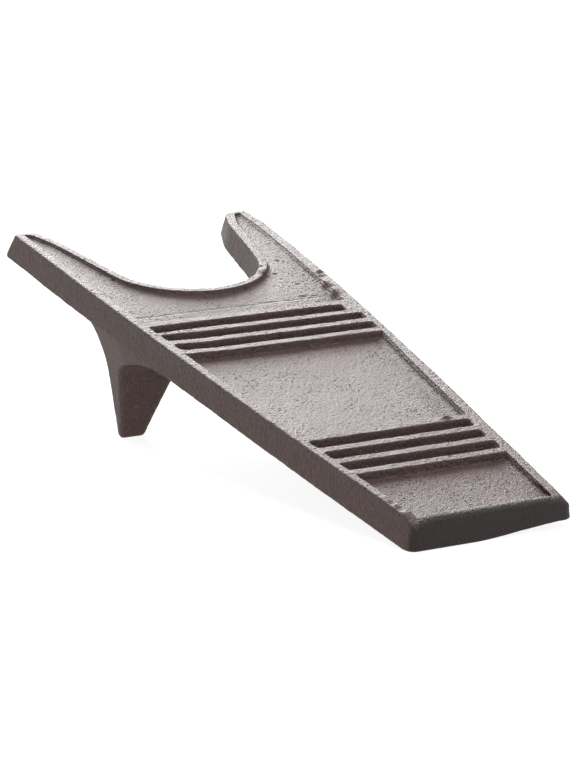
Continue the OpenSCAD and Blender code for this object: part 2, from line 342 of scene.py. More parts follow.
def floor_depth(x, y):
    """Depth of a panel floor below the rim top: the middle depth along the deck, rising in a
    parabola over the cove's width to the depths at the foot of the flank and notch walls."""
    middle = np.interp(y, FLOOR_YS, FLOOR_DEPTHS)

    def rise(gap, kind, cove, foot_depths):
        """A parabola of how far a point is into the cove, as high as the foot is above the
        middle."""
        into_cove = 1 - np.clip((gap - RIM_WIDTHS[kind] - WALL_LEAN) / cove, 0, 1)
        return (middle - np.interp(y, FLOOR_YS, foot_depths)) * into_cove**2

    flank_gap = half_width(np.clip(y, 0, DECK_LENGTH)) - np.abs(x)
    flank_rise = rise(flank_gap, FLANK, FLANK_COVE, FLANK_FOOT_DEPTHS)
    notch_rise = rise(notch_gap(x, y), NOTCH, NOTCH_COVE, NOTCH_FOOT_DEPTHS)
    return middle - np.maximum(flank_rise, notch_rise)


def floor_at(xy):
    """The panel floor's depth at the points of a ring."""
    return floor_depth(*xy.T)


# Under the slabs the rim's section carries on level: inset and drop of each row. On the underside
# it carries on as a strip, and ends inside the deck.
BURIED_FOOT = ((0.9, 0.8), (0.8, 0.08), (0.4, 0.04))
UNDER_STRIP = (0.8, 1.6)
BURIED_TOP = PANEL_DEPTH + 2.5
TURN = np.linspace(0, 1, 5) * np.pi / 2
FINE_TURN = np.linspace(0, 1, 7) * np.pi / 2


def rim_sections():
    """The rim's section carried round the outline: floor fillet, drafted panel wall, rounded top,
    drafted outer wall, rounded bottom edge, a strip of the underside, and back up inside the
    deck."""
    fillet = FLOOR_FILLET / PANEL_DEPTH
    foot = RIM_WIDTHS + WALL_LEAN + FLOOR_FILLET
    rows = []
    for reach, sunk in BURIED_FOOT:
        rows.append(ring(foot + reach, lambda xy: floor_at(xy) + sunk, False))
    for a in TURN:
        inset = RIM_WIDTHS + WALL_LEAN + FLOOR_FILLET * (1 - np.sin(a))
        share = 1 - fillet * (1 - np.cos(a))
        rows.append(ring(inset, lambda xy: floor_at(xy) * share, False))
    for t in np.linspace(0, 1, 5)[1:]:
        inset = RIM_WIDTHS + WALL_LEAN * (1 - t)
        share = (1 - fillet) * (1 - t)
        rows.append(ring(inset, lambda xy: floor_at(xy) * share + INNER_ROUND * t, False))
    for a in TURN[1:]:
        inset = RIM_WIDTHS + INNER_ROUND * (np.cos(a) - 1)
        rows.append(ring(inset, INNER_ROUND * (1 - np.sin(a)), False))
    for t in np.linspace(0, 1, 6)[1:-1]:
        rows.append(ring((RIM_WIDTHS - INNER_ROUND) * (1 - t) + TOP_ROUNDS * t, 0, False))
    top_drop, bottom_round = KIND_SHARES @ TOP_DROPS, KIND_SHARES @ BOTTOM_ROUNDS
    for a in FINE_TURN:
        rows.append(ring(TOP_ROUNDS * (1 - np.sin(a)), top_drop * (1 - np.cos(a))))
    for t in np.linspace(0, 1, 13)[1:-1]:
        rows.append(ring(
            np.zeros(4), lambda xy: top_drop * (1 - t) + (under_depth(xy) - bottom_round) * t
        ))
    for a in FINE_TURN:
        inset = BOTTOM_ROUNDS * (1 - np.cos(a))
        rows.append(ring(inset, lambda xy: under_depth(xy) - bottom_round * (1 - np.sin(a))))
    for reach in UNDER_STRIP:
        rows.append(ring(BOTTOM_ROUNDS + reach, under_depth))
    rows.append(ring(BOTTOM_ROUNDS + UNDER_STRIP[-1], BURIED_TOP, False))
    return np.array(rows)


# Where this casting differs from the drawing. Each smooth step has a start and a reach.
# The right horn bends towards the notch, and its floor sits a little further out.
HORN_BEND = 2.0
HORN_BEND_X = 12.0
HORN_BEND_Y = 232.0
HORN_BEND_REACH = 52.0
HORN_CORE = 0.6
HORN_CORE_REACH = 25.0
# The toe's right corner spreads at the foot.
TOE_SPREAD = 2.6
TOE_SPREAD_X = 24.0
TOE_SPREAD_Y = 20.0
TOE_SPREAD_DEPTH = 3.0
# The tops of the toe corners roll down, and the horn tips sit low.
LEFT_CORNER_DROP = 2.2
RIGHT_CORNER_DROP = 0.8
CORNER_REACH = 8.0
TIP_DROP = 0.15
TIP_DROP_Y = 262.0
TIP_DROP_REACH = 20.0
DROP_END = -9.0
DROP_REACH = 8.0
# Panels and treads sit to one side, by shifts along the deck.
CORE_YS = [0, 40, 75, 120, 150, 168, 185, 285]
CORE_LEFT = [-0.2, -0.7, -0.7, 0, -0.2, 0, 0, 0]
CORE_RIGHT = [0.2, -0.2, -0.4, 0.2, 1.7, 1.2, 0, 0]
CORE_EDGE = 0.8
CORE_REACH = 2.2
CORE_END = -6.0
CORE_END_REACH = 2.0
# The right flank bulges, by shifts along the deck.
BULGE_YS = [0, 50, 85, 125, 165, 205, 230, 248, 268, 285]
BULGE_SHIFTS = [-0.2, 0, 0.5, 0.9, 1.3, 1.4, 1.0, 1.2, 1.7, 0.3]
BULGE_EDGE = 4.6
BULGE_REACH = 3.4
NOTCH_OUTLINE_YS = [NOTCH_Y, ROOT_Y, BEND[1], DECK_LENGTH]
NOTCH_OUTLINE_XS = [0, NOTCH_R, BEND[0], HEEL_WIDTH / 2 - TIP_WIDTH]


def as_cast(points):
    """Moves flat-deck points sideways: the right horn by a smooth step along its length, the foot
    of the right toe corner by smooth steps along the deck and in height, the right flank outwards
    and what lies inside the rim by shifts read off along the deck, each fading out over the rim's
    own width. The tops of the toe corners drop by a smooth step of the distance from the corner,
    and the horn tips by one along the deck."""
    points = np.array(points, float)
    x, y, z = points[..., 0], points[..., 1], points[..., 2]
    width = half_width(np.clip(y, 0, DECK_LENGTH))
    from_flank = width - np.abs(x)

    bend = smooth(x / HORN_BEND_X) * smooth((y - HORN_BEND_Y) / HORN_BEND_REACH)
    spread = smooth(x / TOE_SPREAD_X) * smooth(1 - y / TOE_SPREAD_Y) * smooth(-z / TOE_SPREAD_DEPTH)
    bulge = np.interp(y, BULGE_YS, BULGE_SHIFTS) * (x > 0)
    bulge = bulge * smooth((BULGE_EDGE - from_flank) / BULGE_REACH)

    inside = smooth((from_flank - CORE_EDGE) / CORE_REACH) * smooth((z - CORE_END) / CORE_END_REACH)
    notch_x = np.interp(y, NOTCH_OUTLINE_YS, NOTCH_OUTLINE_XS)
    horn_core = smooth((x - notch_x - CORE_EDGE) / CORE_REACH)
    horn_core = HORN_CORE * horn_core * smooth((y - ROOT_Y) / HORN_CORE_REACH)
    to_right = smooth(x / width / 2 + 0.5)
    core = np.interp(y, CORE_YS, CORE_LEFT) * (1 - to_right)
    core = core + np.interp(y, CORE_YS, CORE_RIGHT) * to_right

    from_corner = np.hypot(np.abs(x) - TOE_WIDTH / 2, y)
    drop = np.where(x > 0, RIGHT_CORNER_DROP, LEFT_CORNER_DROP)
    drop = drop * smooth(1 - from_corner / CORNER_REACH)
    drop = drop + TIP_DROP * smooth((y - TIP_DROP_Y) / TIP_DROP_REACH)

    moved = x - HORN_BEND * bend + TOE_SPREAD * spread + bulge + inside * (core + horn_core)
    points[..., 2] = z - drop * smooth((z - DROP_END) / DROP_REACH)
    points[..., 0] = moved
    return points


NOISE_TABLE = 4096
NOISE_STRIDES = (73, 179, 1231)


def value_noise(points, size, seed):
    """Smooth random field from 0 to 1: random numbers on a cubic lattice, blended between the
    eight around a point."""
    table = np.random.default_rng(seed).random(NOISE_TABLE)
    q = points / size
    cell = np.floor(q).astype(np.int64)
    f = q - cell
    f = f * f * (3 - 2 * f)
    total = 0
    for corner in np.ndindex(2, 2, 2):
        step = np.array(corner)
        weight = np.prod(np.where(step, f, 1 - f), axis=-1)
        total = total + weight * table[((cell + step) * NOISE_STRIDES).sum(-1) % NOISE_TABLE]
    return total


# Sand skin: size and depth of each layer of noise, the share of it that stands out, and the
# height over which it fades in from the floor
SKIN_SIZES = (18.0, 5.0, 1.5)
SKIN_DEPTHS = (0.16, 0.14, 0.13)
SKIN_OUT = 0.4
FLOOR_CLEAR = 2.0

# Marks on the upper side: x, y, half widths across and along, and height. A lump at the notch's
# right corner with a slit in it, pits in the fork floor, a burr on the right edge, the slumped
# wall below it, a ragged left edge, and small burrs by the treads.
MARKS = np.array([
    (25.4, 217.6, 2.6, 3.0, 0.9), (26.0, 222.6, 1.3, 0.5, -1.1), (24.6, 214.6, 1.2, 0.7, -0.5),
    (37.8, 230.2, 0.9, 0.5, -0.7), (39.6, 228.6, 0.5, 0.4, -0.5), (30.5, 217.9, 1.0, 0.5, -0.7),
    (34.4, 205.8, 0.9, 0.6, -0.5), (30.9, 194.4, 1.6, 0.7, -0.5), (35.2, 194.0, 0.8, 0.6, -0.4),
    (45.6, 210.4, 1.3, 0.6, 1.0), (44.6, 206.0, 1.2, 1.4, -0.7), (42.2, 199.0, 1.5, 2.4, 1.0),
    (42.8, 195.2, 1.1, 1.2, -0.7), (41.6, 190.4, 1.6, 2.6, 1.1), (41.8, 186.0, 1.0, 1.0, -0.6),
    (-27.6, 15.4, 1.0, 1.4, -0.8), (-27.4, 10.6, 1.0, 1.8, -0.9), (-27.2, 6.6, 1.2, 1.2, 0.4),
    (27.7, 132.3, 0.6, 0.5, -0.7), (27.2, 161.8, 0.9, 0.6, 0.5), (22.3, 68.9, 1.8, 0.7, 0.9),
])
MARK_DEEPEST = -5.0


def marks(flat):
    """Height of the casting marks at flat-deck points: a sum of bell curves on the upper side."""
    x, y, _ = flat.T[:, :, None]
    cx, cy, rx, ry, height = MARKS.T
    bells = height * np.exp(-(((x - cx) / rx) ** 2) - ((y - cy) / ry) ** 2)
    return bells.sum(-1) * (flat[:, 2] > MARK_DEEPEST)


def vertex_values(mesh, name):
    """A mesh's vertex vectors, such as places or normals, as one array."""
    values = np.empty(len(mesh.vertices) * 3, np.float32)
    mesh.vertices.foreach_get(name, values)
    return values.reshape(-1, 3)


def sand_skin(mesh):
    """Sinks each vertex along its normal by the summed value noise of the sand mould, fading out
    at the floor, and raises it by the casting marks. Nothing goes below the floor."""
    place, normal = vertex_values(mesh, "co").astype(float), vertex_values(mesh, "normal")
    flat = lay_flat(place)
    layers = enumerate(zip(SKIN_SIZES, SKIN_DEPTHS))
    sink = sum(
        depth * (value_noise(flat, size, seed) - SKIN_OUT) for seed, (size, depth) in layers
    )
    sink = sink - marks(flat) * np.clip(normal[:, 2], 0, 1)
    sink = sink * smooth(place[:, 2] / METRES / FLOOR_CLEAR)
    place = place - normal * sink[:, None] * METRES
    place[:, 2] = np.maximum(place[:, 2], 0)
    mesh.vertices.foreach_set("co", place.astype(np.float32).ravel())
    mesh.update()


def signed_volume(mesh):
    """Six times the volume a mesh encloses: the sum over its triangles of each one's corner
    triple product."""
    mesh.calc_loop_triangles()
    corners = np.empty(len(mesh.loop_triangles) * 3, np.int32)
    mesh.loop_triangles.foreach_get("vertices", corners)
    a, b, c = vertex_values(mesh, "co")[corners.reshape(-1, 3)].transpose(1, 0, 2)
    return (a * np.cross(b, c)).sum()


def skin(name, rings, looped, *nodes):
    """A closed surface through rings of equal point counts: rows of four-sided faces between
    neighbouring rings, and, unless the last ring joins the first, a fan to the middle of each end
    ring."""
    rings = stand(as_cast(rings))
    rows, count = rings.shape[:2]
    points = rings.reshape(-1, 3)
    j = np.arange(rows if looped else rows - 1)[:, None] * count
    k = np.arange(count)
    ahead, across = (j + count) % (rows * count), (k + 1) % count
    quads = np.stack([j + k, j + across, ahead + across, ahead + k], -1).reshape(-1, 4)
    faces = quads.tolist()
    if not looped:
        points = np.concatenate([points, rings[[0, -1]].mean(1)])
        base = (rows - 1) * count
        first = np.stack([np.full(count, len(points) - 2), across, k], -1)
        last = np.stack([np.full(count, len(points) - 1), base + k, base + across], -1)
        faces += first.tolist() + last.tolist()
    mesh = bpy.data.meshes.new(name)
    mesh.from_pydata(points.tolist(), [], faces)
    mesh.update()
    if signed_volume(mesh) < 0:
        mesh.flip_normals()
    mesh.shade_smooth()
    sand_skin(mesh)
    obj = bpy.data.objects.new(name, mesh)
    bpy.context.scene.collection.objects.link(obj)
    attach(obj, "root")
    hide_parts(*nodes)
    return obj


# Slabs end out of sight inside the rim: how far in, and how deep their end rows sink.
HIDDEN_EDGE = 2.0
DECK_START_Y = 2.0
DECK_END_Y = 193.0
SLAB_STEP = 0.7
SUNK_END = -5.0
UNDER_STEPS = 40


def deck_slab():
    """The panel floors from toe to fork: straight rows across at each y, top at the panel depth,
    bottom at the underside, both ending inside the rim."""
    y = np.arange(DECK_START_Y, DECK_END_Y, SLAB_STEP)[:, None]
    reach = half_width(y) - HIDDEN_EDGE
    x = reach * np.linspace(-1, 1, int(HEEL_WIDTH / SLAB_STEP))
    low_x = reach * np.linspace(1, -1, UNDER_STEPS)
    top = np.stack([x, y + 0 * x, -floor_depth(x, y)], -1)
    low = np.stack([low_x, y + 0 * low_x, under_z(low_x, y + 0 * low_x)], -1)
    top[[0, -1], :, 2] = SUNK_END
    return np.concatenate([top, low], 1)


# The fork's floor starts under the notch rim at these insets, and ends on a path inside the
# flanks: its y and its share of the way from the left tip to the right one.
FORK_STATIONS = 420
FORK_ROWS = 61
FORK_UNDER_SKIP = 4
FORK_INSETS = np.array([0, 0, 1.4, 1.0])
FORK_PATH_YS = np.array([DECK_LENGTH - FORK_INSETS[TIP], 260, 235, 210, DECK_END_Y - 2])
FORK_PATH_SHARES = np.array([0, 0.11, 0.22, 0.31, 0.4, 0.6, 0.69, 0.78, 0.89, 1])
FORK_LAP_DIP = 0.25
FORK_LAP_START = 0.5
FORK_LAP_REACH = 2.0
NOTCH_MARGIN = 5.0


def notch_path(inset, stations):
    """The notch edge from the left tip round the root to the right tip, cut at equal shares of
    its length."""
    edge = even(outline(inset))
    x, y = edge.T
    run = edge[(y > NOTCH_Y - NOTCH_MARGIN) & (np.abs(x) < half_width(y) - TIP_WIDTH / 2)]
    start = np.argmax(np.linalg.norm(np.roll(run, 1, 0) - run, axis=1))
    run = np.roll(run, -start, 0)[::-1]
    length = np.concatenate([[0], np.cumsum(np.linalg.norm(np.diff(run, axis=0), axis=1))])
    share = stations * length[-1]
    return np.stack([np.interp(share, length, run[:, axis]) for axis in (0, 1)], -1)


def fork_slab():
    """The fork's floor as a horseshoe: straight lines from the notch edge to a path that runs
    down the left flank, across the deck in front of the legs and up the right flank. Top at the
    panel depth, dipping where it laps the deck's slab, bottom at the underside."""
    stations = np.linspace(0, 1, FORK_STATIONS)
    inner = notch_path(FORK_INSETS, stations)
    half = half_width(FORK_PATH_YS) - HIDDEN_EDGE
    path_x = np.concatenate([-half, half[::-1]])
    path_y = np.concatenate([FORK_PATH_YS, FORK_PATH_YS[::-1]])
    outer = np.stack([np.interp(stations, FORK_PATH_SHARES, path) for path in (path_x, path_y)], -1)
    t = np.linspace(0, 1, FORK_ROWS)[None, :, None]
    flat = inner[:, None] * (1 - t) + outer[:, None] * t
    x, y = np.moveaxis(flat, -1, 0)
    lap = smooth((DECK_END_Y + FORK_LAP_START - y) / FORK_LAP_REACH)
    top = np.stack([x, y, -(floor_depth(x, y) + FORK_LAP_DIP * lap)], -1)
    x, y = x[:, ::-FORK_UNDER_SKIP], y[:, ::-FORK_UNDER_SKIP]
    return np.concatenate([top, np.stack([x, y, under_z(x, y)], -1)], 1)


# Treads: width of a pocket's drafted wall and where it starts, size of the height field, and how
# its edges sink into the rim
POCKET_WALL = 1.15
POCKET_EDGE = 0.2
BAND_MARGIN = 3.2
TREAD_STEP_Y = 0.22
TREAD_STEP_X = 0.36
TREAD_LIFT = 0.01
TREAD_EDGE = 1.7
TREAD_BASE = SUNK_END - 1
TREAD_BASE_STEPS = 12
RIM_GAP = 0.1
PANEL_LAP = 1.0
EDGE_SINK = 0.4
EDGE_SINK_START = 0.7
EDGE_SINK_REACH = 0.6
# The bars of the upper band bow towards the heel at the left.
UPPER_BOW = 1.6
BOW_START = 20.0
BOW_REACH = 26.0
# How far each groove stops short of the rim, left and right, from the heel side on
UPPER_ENDS = [(-0.9, 3.2), (0.2, -0.3), (0.3, -0.2)]
LOWER_ENDS = [(0.2, 0.8), (0.1, 0.7), (-0.3, -0.1)]


def pocket(dx, dy):
    """Depth of a pocket with rounded corners: the distance outside a rounded rectangle, run
    through a smooth step over the width of its drafted wall."""
    qx, qy = dx + GROOVE_R, dy + GROOVE_R
    outside = np.hypot(np.maximum(qx, 0), np.maximum(qy, 0)) + np.minimum(np.maximum(qx, qy), 0)
    return PANEL_DEPTH * smooth((POCKET_EDGE - (outside - GROOVE_R)) / POCKET_WALL)


def treads(start, ends, bow):
    """A band of bars as a height field: pockets sunk between the bars and on both sides of the
    band. `ends` holds how far each pocket between the bars stops short of the rim. All bars but
    the first bow by a smooth step towards the left."""
    heel_end = start + BAND_LENGTH
    y = np.arange(start - BAND_MARGIN, heel_end + BAND_MARGIN, TREAD_STEP_Y)[:, None]
    reach = half_width(y) - TREAD_EDGE
    x = reach * np.linspace(-1, 1, int(2 * half_width(start) / TREAD_STEP_X))
    y = y + 0 * x
    wall = half_width(y) - RIM_WIDTHS[FLANK] - RIM_GAP
    bowed = bow * smooth((-x - BOW_START) / BOW_REACH)

    def bar_edge(i):
        """The toe side of a bar, counted in pitches from the heel side."""
        return heel_end - i * BAR_PITCH - BAR_WIDTH + bowed * (i > 0)

    toe_panel = pocket(np.abs(x) - wall - PANEL_LAP, y - bar_edge(BAR_COUNT - 1))
    heel_panel = pocket(np.abs(x) - wall - PANEL_LAP, heel_end - y)
    depth = np.maximum(toe_panel, heel_panel) * (floor_depth(x, y) / PANEL_DEPTH)
    for i, (left, right) in enumerate(ends):
        heel_edge = bar_edge(i)
        toe_edge = heel_edge - (BAR_PITCH - BAR_WIDTH)
        dx = np.maximum(x - (wall - right), -(wall - left) - x)
        depth = np.maximum(depth, pocket(dx, np.maximum(y - heel_edge, toe_edge - y)))

    sunk = EDGE_SINK * smooth((np.abs(x) - reach + EDGE_SINK_START) / EDGE_SINK_REACH)
    height = TREAD_LIFT - depth - sunk
    height[[0, -1]] = SUNK_END
    low_x = reach * np.linspace(1, -1, TREAD_BASE_STEPS)
    low = np.stack([low_x, y[:, :1] + 0 * low_x, 0 * low_x + TREAD_BASE], -1)
    return np.concatenate([np.stack([x, y, height], -1), low], 1)


# Legs: sections start inside the deck at LEG_TOP. Levels are shares of the way down to the floor:
# the underside, then closer steps in the fillets, then the foot's rounding, up to the sole.
LEG_TOP = -7.0
LEG_UNDER = -side_height(LEG_Y)
LEG_LEVELS = 90
LEG_SIDE_STEPS = 34
BURIED_LEVELS = 6
SOLE_LEVELS = 22
UNDER_SHARE = 0.08
SHANK_SHARE = 0.93
SOLE_SHARE = 0.9995
SHANK_CROWDING = 1.5
SIDE_CROWDING = 0.35
# How far the outlines of a leg carry on inside the deck: up, and backwards
BURIED_RISE = 4.5
BURIED_BACK = 6.0
BURIED_ARCH = 12.0
HAUNCH_STEPS = 12
# The upright edges are nearly sharp where the leg leaves the deck and grow round below.
LEG_BLEND = 14.0
LEG_SHARP_SHARE = 0.15
LEG_ROUND_LIMIT = 0.8
LEG_OFF_NOTCH = 1.5
FLANK_CLEAR = 0.02


def polyline(*parts):
    """Points and rows of points joined into one row."""
    return np.concatenate([np.atleast_2d(np.asarray(p, float)) for p in parts])


def leg_side_view():
    """The front and the back of a leg from inside the deck to the middle of the foot, as y and z:
    straight lines with fillets, and a haunch in front that falls in a parabola."""
    front_top_y = LEG_Y + (LEG_DROP - side_height(LEG_Y)) * tan(FRONT_LEAN)
    back_top_y = FOOT_BACK_Y + (LEG_UNDER - floor_z(FOOT_BACK_Y)) * tan(BACK_LEAN)
    haunch_y = front_top_y - HAUNCH_LENGTH
    haunch_start = np.array([haunch_y, -side_height(haunch_y)])
    haunch_end = np.array([front_top_y, LEG_UNDER - HAUNCH_DROP])
    front_foot = np.array([LEG_Y, floor_z(LEG_Y)])
    back_foot = np.array([FOOT_BACK_Y, floor_z(FOOT_BACK_Y)])
    behind_y = back_top_y + BACK_FILLET_R
    back_top = np.array([back_top_y, -side_height(back_top_y) - horn_sag(back_top_y)])
    behind = np.array([behind_y, -side_height(behind_y) - horn_sag(behind_y)])
    middle = (front_foot + back_foot) / 2

    along = np.linspace(0, 1, HAUNCH_STEPS + 1)[:, None]
    level_end = haunch_end + [0, HAUNCH_DROP]
    haunch = haunch_start + (level_end - haunch_start) * along - [0, HAUNCH_DROP] * along**2
    front = polyline(
        haunch_start + [0, BURIED_RISE],
        haunch[:-1],
        arc(haunch[-2], haunch_end, front_foot, FRONT_FILLET_R, 16),
        arc(haunch_end, front_foot, back_foot, FOOT_EDGE_R, 8),
        middle,
    )
    fillet = arc(back_foot, back_top, behind, BACK_FILLET_R, 24)[::-1]
    back = polyline(
        fillet[0] + [BURIED_BACK, BURIED_RISE],
        fillet,
        arc(front_foot, back_foot, back_top, FOOT_EDGE_R, 8)[::-1],
        middle,
    )
    return front, back


def leg_front_view():
    """The inner and the outer edge of a leg from inside the deck to the middle of the foot, as x
    and z: straight lines with a fillet into the arch and rounded foot corners."""
    low = floor_z(FOOT_BACK_Y)
    outer_x = half_width(LEG_Y) - FOOT_SET_IN
    inner_x = outer_x - FOOT_WIDTH
    outer_foot, inner_foot = np.array([outer_x, low]), np.array([inner_x, low])
    outer_top = np.array([outer_x - low * tan(OUTER_LEAN), 0])
    arch_top = np.array([inner_x - (LEG_UNDER - low) * tan(INNER_LEAN), LEG_UNDER])
    arch = arc(inner_foot, arch_top, np.array([0, LEG_UNDER]), ARCH_FILLET_R, 20)[::-1]
    middle = (outer_foot + inner_foot) / 2
    inner = polyline(
        arch[0] + [0, BURIED_ARCH],
        arch,
        arc(arch_top, inner_foot, outer_foot, FOOT_INNER_R, 10),
        middle,
    )
    outer = polyline(outer_top, arc(outer_top, outer_foot, inner_foot, FOOT_OUTER_R, 8), middle)
    return inner, outer


def leg_levels():
    """Shares of the way down at which a leg is cut, closest together in the fillets and at the
    foot."""
    buried = np.linspace(0, UNDER_SHARE, BURIED_LEVELS)[:-1]
    shank = np.linspace(0, 1, LEG_LEVELS) ** SHANK_CROWDING
    sole = np.sin(np.linspace(0, 1, SOLE_LEVELS)[1:] * np.pi / 2)
    shank = UNDER_SHARE + (SHANK_SHARE - UNDER_SHARE) * shank
    sole = SHANK_SHARE + (1 - SHANK_SHARE) * sole
    return np.minimum(np.concatenate([buried, shank, sole]), SOLE_SHARE)


def leg_rings(side):
    """A leg as level sections from inside the deck down to the floor. Each section is a rounded
    rectangle whose front and back follow the side view, whose inner edge follows the front view,
    and whose outer edge stays flush with the flank. It keeps clear of the notch's root circle."""
    front, back = leg_side_view()
    inner, outer = leg_front_view()
    t = leg_levels()

    def y_at(p):
        """Place of the side view's outline at each level's share of the way down."""
        down = (LEG_TOP - p[:, 1]) / (LEG_TOP - floor_z(p[:, 0]))
        return np.interp(t, np.maximum.accumulate(down), p[:, 0])[:, None]

    def x_at(p):
        """Place of the front view's outline at each point's height."""
        return np.interp(-z, np.maximum.accumulate(-p[:, 1]), p[:, 0])

    s = np.linspace(0, 1, LEG_SIDE_STEPS, endpoint=False)
    s = s - SIDE_CROWDING * np.sin(2 * np.pi * s) / (2 * np.pi)
    one, zero = np.ones_like(s), np.zeros_like(s)
    u, v = np.concatenate([s, one, 1 - s, zero]), np.concatenate([zero, s, one, 1 - s])
    front_y, back_y = y_at(front), y_at(back)
    y = front_y + (back_y - front_y) * v
    z = LEG_TOP - t[:, None] * (LEG_TOP - floor_z(y))
    flank = half_width(y) + np.minimum(-z, side_height(LEG_Y)) * tan(DRAFT) - FLANK_CLEAR
    in_x, out_x = x_at(inner), np.minimum(x_at(outer), flank)
    x = in_x + (out_x - in_x) * u

    # Round the four upright edges: points past a corner's centre move on to its circle.
    centre_x, centre_y = (in_x + out_x) / 2, (front_y + back_y) / 2
    half_x, half_y = (out_x - in_x) / 2, (back_y - front_y) / 2
    px, py = x - centre_x, y - centre_y
    grown = LEG_SHARP_SHARE + (1 - LEG_SHARP_SHARE) * smooth((LEG_UNDER - z) / LEG_BLEND)
    r = np.minimum(LEG_CORNER_R * grown, LEG_ROUND_LIMIT * np.minimum(half_x, half_y))
    qx, qy = np.maximum(np.abs(px) - half_x + r, 0), np.maximum(np.abs(py) - half_y + r, 0)
    scale = r / np.maximum(np.hypot(qx, qy), r)
    x = centre_x + np.sign(px) * (np.minimum(np.abs(px), half_x - r) + qx * scale)
    y = centre_y + np.sign(py) * (np.minimum(np.abs(py), half_y - r) + qy * scale)

    clear_r = NOTCH_R + LEG_OFF_NOTCH
    before_notch = ROOT_Y - np.sqrt(np.maximum(clear_r**2 - x * x, 0))
    y = np.where(np.abs(x) < clear_r, np.minimum(y, before_notch), y)
    return np.stack([side * x, y, z], -1)


class Value:
    """A shader socket that can be used in sums: each operator adds one Math node."""

    tree = None

    def __init__(self, socket):
        self.socket = socket

    @classmethod
    def node(cls, kind, settings=None, inputs=None, output=0):
        """Adds a node of a type, sets its settings, then gives its sockets values or links."""
        made = cls.tree.nodes.new(kind)
        for key, value in (settings or {}).items():
            if key == "stops":
                ramp = made.color_ramp
                while len(ramp.elements) < len(value):
                    ramp.elements.new(0.5)
                for element, (place, tone) in zip(ramp.elements, value):
                    grey = isinstance(tone, (int, float))
                    element.position = place
                    element.color = (tone, tone, tone, 1) if grey else (*tone, 1)
            else:
                setattr(made, key, value)
        for key, value in (inputs or {}).items():
            if isinstance(value, Value):
                cls.tree.links.new(made.inputs[key], value.socket)
            else:
                made.inputs[key].default_value = value
        return cls(made.outputs[output])

    @classmethod
    def math(cls, operation, *values):
        """One Math node on the values in their order."""
        return cls.node("ShaderNodeMath", {"operation": operation}, dict(enumerate(values)))

    def __add__(self, other):
        return Value.math("ADD", self, other)

    def __radd__(self, other):
        return Value.math("ADD", other, self)

    def __sub__(self, other):
        return Value.math("SUBTRACT", self, other)

    def __rsub__(self, other):
        return Value.math("SUBTRACT", other, self)

    def __mul__(self, other):
        return Value.math("MULTIPLY", self, other)

    def __rmul__(self, other):
        return Value.math("MULTIPLY", other, self)

    def clamp(self, low, high):
        return Value.math("MINIMUM", Value.math("MAXIMUM", self, low), high)


# Sockets that only a number tells apart
OBJECT_COORDINATES = 3
SECOND = 1
MIX_FACTOR, MIX_FIRST, MIX_SECOND, MIX_COLOUR = 0, 6, 7, 2

# Sizes of the patterns in the paint
MOTTLE_SIZE = 16.0
PATCH_SIZE = 9.0
PORE_SPACING = 1.7
GRAIN_SIZE = 1.1
# Size of the light specks painted as glints
GLINT_SIZE = 0.55
FINE_SIZE = 0.5
UPRIGHT_STRETCH = 0.35
BUMP_HEIGHT = 0.8

# Colours of the paint, and of the painted shade, glints and sheen
DARK_PAINT = (0.041, 0.0195, 0.0165)
LIGHT_PAINT = (0.064, 0.0325, 0.0275)
# Painted shade in the pores
PORE_SHADE_COLOUR = (0.018, 0.012, 0.011, 1)
# Painted glints on the grain
GLINT_COLOUR = (0.18, 0.135, 0.125, 1)
# Painted sheen on the upper side, greyer than the paint
UPPER_SHEEN_COLOUR = (0.05, 0.036, 0.035, 1)
# Painted shade on the toe face
TOE_FACE_SHADE_COLOUR = (0.006, 0.003, 0.003, 1)


